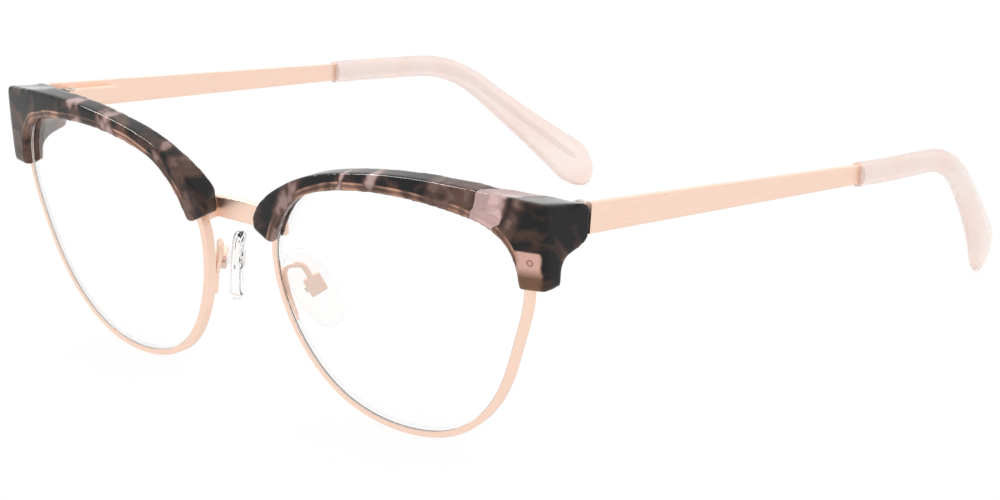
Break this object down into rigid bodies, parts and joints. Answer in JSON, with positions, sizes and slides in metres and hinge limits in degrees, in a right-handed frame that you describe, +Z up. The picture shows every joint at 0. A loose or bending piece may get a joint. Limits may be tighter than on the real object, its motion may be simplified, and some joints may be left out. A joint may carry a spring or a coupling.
{
  "type": "browline glasses",
  "caption": "Browline glasses with tortoise acetate brows over thin metal rims, a metal bridge, silicone nose pads, sprung hinges and flat metal temples with acetate tips.",
  "frame": {"origin": "on the table under the middle of the bounding box, with the glasses open and resting on rims and tips", "axes": "+X to the wearer's left, +Y from the front back along the temples, +Z up"},
  "size_m": [0.1284, 0.1534, 0.0448],
  "materials": {
    "tortoise_acetate": "polished tortoise acetate",
    "rose_metal": "satin rose gold plating",
    "clear_lens": "polished clear lens",
    "screw_steel": "plain turned steel",
    "pad_plastic": "clear moulded plastic",
    "pad_silicone": "clear silicone",
    "pink_acetate": "polished translucent acetate"
  },
  "bodies": {
    "front": {"bridge": "rose_metal", "left_brow": "tortoise_acetate", "left_rim": "rose_metal", "left_lens": "clear_lens", "left_rim_screw": "screw_steel", "left_brow_screw": "screw_steel", "left_pad_arm": "rose_metal", "left_pad_screw": "screw_steel", "left_hinge_front": "rose_metal", "right_brow": "tortoise_acetate", "right_rim": "rose_metal", "right_lens": "clear_lens", "right_rim_screw": "screw_steel", "right_brow_screw": "screw_steel", "right_pad_arm": "rose_metal", "right_pad_screw": "screw_steel", "right_hinge_front": "rose_metal"},
    "left_pad": {"left_nose_pad": "pad_silicone", "left_pad_core": "pad_plastic"},
    "left_pin": {"left_hinge_screw": "screw_steel"},
    "left_tongue": {"left_spring_tongue": "screw_steel"},
    "left_temple": {"left_spring_case": "rose_metal", "left_spring_collar": "screw_steel", "left_hinge_spring": "screw_steel", "left_temple_bar": "rose_metal", "left_temple_tip": "pink_acetate"},
    "right_pad": {"right_nose_pad": "pad_silicone", "right_pad_core": "pad_plastic"},
    "right_pin": {"right_hinge_screw": "screw_steel"},
    "right_tongue": {"right_spring_tongue": "screw_steel"},
    "right_temple": {"right_spring_case": "rose_metal", "right_spring_collar": "screw_steel", "right_hinge_spring": "screw_steel", "right_temple_bar": "rose_metal", "right_temple_tip": "pink_acetate"}
  },
  "joints": [
    {"name": "left_pad_rock", "type": "hinge", "parent": "front", "child": "left_pad", "pos_m": [0.0112, -0.06664, 0.02076], "axis": [-0.5248, -0.6968, -0.4889], "range_deg": [-10, 10]},
    {"name": "left_flex", "type": "hinge", "parent": "front", "child": "left_pin", "pos_m": [0.0593, -0.05859, 0.03944], "axis": [0, 0.1178, -0.993], "range_deg": [0, 10], "stiffness_Nm_per_rad": 0.4},
    {"name": "left_fold", "type": "hinge", "parent": "left_pin", "child": "left_tongue", "pos_m": [0.0593, -0.05859, 0.03944], "axis": [0, -0.1178, 0.993], "range_deg": [0, 90]},
    {"name": "left_draw", "type": "slide", "parent": "left_tongue", "child": "left_temple", "axis": [0, 0.9957, -0.093], "range_m": [0, 0.00071], "deforming": ["left_hinge_spring"]},
    {"name": "right_pad_rock", "type": "hinge", "parent": "front", "child": "right_pad", "pos_m": [-0.0112, -0.06664, 0.02076], "axis": [0.5248, -0.6968, -0.4889], "range_deg": [-10, 10]},
    {"name": "right_flex", "type": "hinge", "parent": "front", "child": "right_pin", "pos_m": [-0.0593, -0.05859, 0.03944], "axis": [0, -0.1178, 0.993], "range_deg": [0, 10], "stiffness_Nm_per_rad": 0.4},
    {"name": "right_fold", "type": "hinge", "parent": "right_pin", "child": "right_tongue", "pos_m": [-0.0593, -0.05859, 0.03944], "axis": [0, 0.1178, -0.993], "range_deg": [0, 85]},
    {"name": "right_draw", "type": "slide", "parent": "right_tongue", "child": "right_temple", "axis": [0, 0.9957, -0.093], "range_m": [0, 0.00071], "deforming": ["right_hinge_spring"]}
  ],
  "couplings": [
    {"joint": "left_draw", "follows": "left_flex", "m_per_rad": 0.0040397},
    {"joint": "right_draw", "follows": "right_flex", "m_per_rad": 0.0040397}
  ]
}
